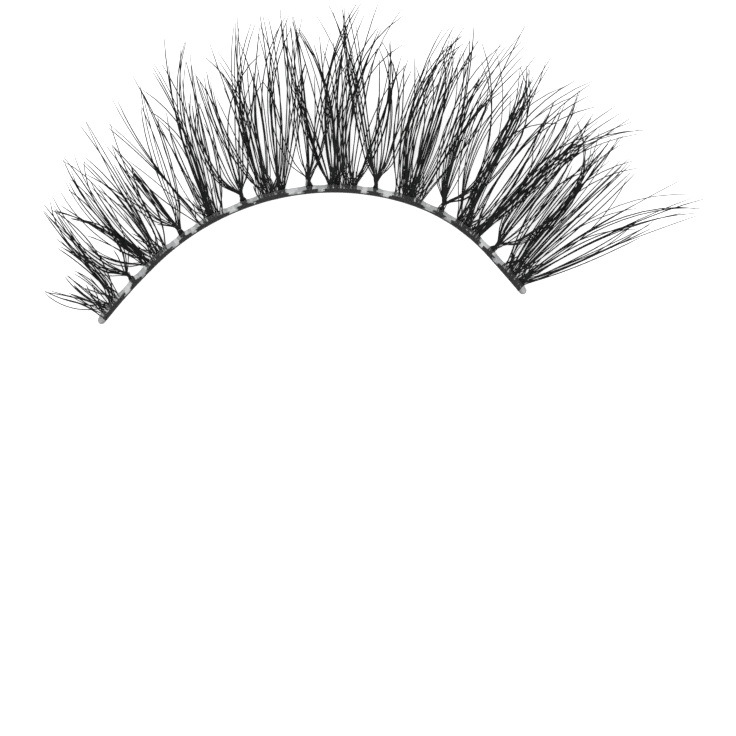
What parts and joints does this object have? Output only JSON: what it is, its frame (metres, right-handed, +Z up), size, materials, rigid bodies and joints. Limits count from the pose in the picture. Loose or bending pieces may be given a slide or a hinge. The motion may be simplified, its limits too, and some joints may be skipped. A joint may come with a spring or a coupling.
{
  "type": "false eyelash strip",
  "caption": "Arched strip of black false eyelashes: fanned, crossing clusters that lengthen towards the outer corner, set in a thin clear band with rounded ends.",
  "frame": {"origin": "middle of the underside of the bounding box, in the plane that the clear band lies on", "axes": "+X towards the outer corner of the eye, +Y the way the lashes point, +Z up, the way the lashes curl"},
  "size_m": [0.0438, 0.0218, 0.0061],
  "materials": {
    "clear_band": "clear, slightly grey cured resin with a soft gloss",
    "lash_fibre": "black synthetic fibre with a faint sheen"
  },
  "bodies": {
    "root": {"band": "clear_band", "lash_cluster_01": "lash_fibre", "lash_cluster_02": "lash_fibre", "lash_cluster_03": "lash_fibre", "lash_cluster_04": "lash_fibre", "lash_cluster_05": "lash_fibre", "lash_cluster_06": "lash_fibre", "lash_cluster_07": "lash_fibre", "lash_cluster_08": "lash_fibre", "lash_cluster_09": "lash_fibre", "lash_cluster_10": "lash_fibre", "lash_cluster_11": "lash_fibre", "lash_cluster_12": "lash_fibre", "lash_cluster_13": "lash_fibre", "lash_cluster_14": "lash_fibre", "lash_cluster_15": "lash_fibre"}
  },
  "joints": []
}
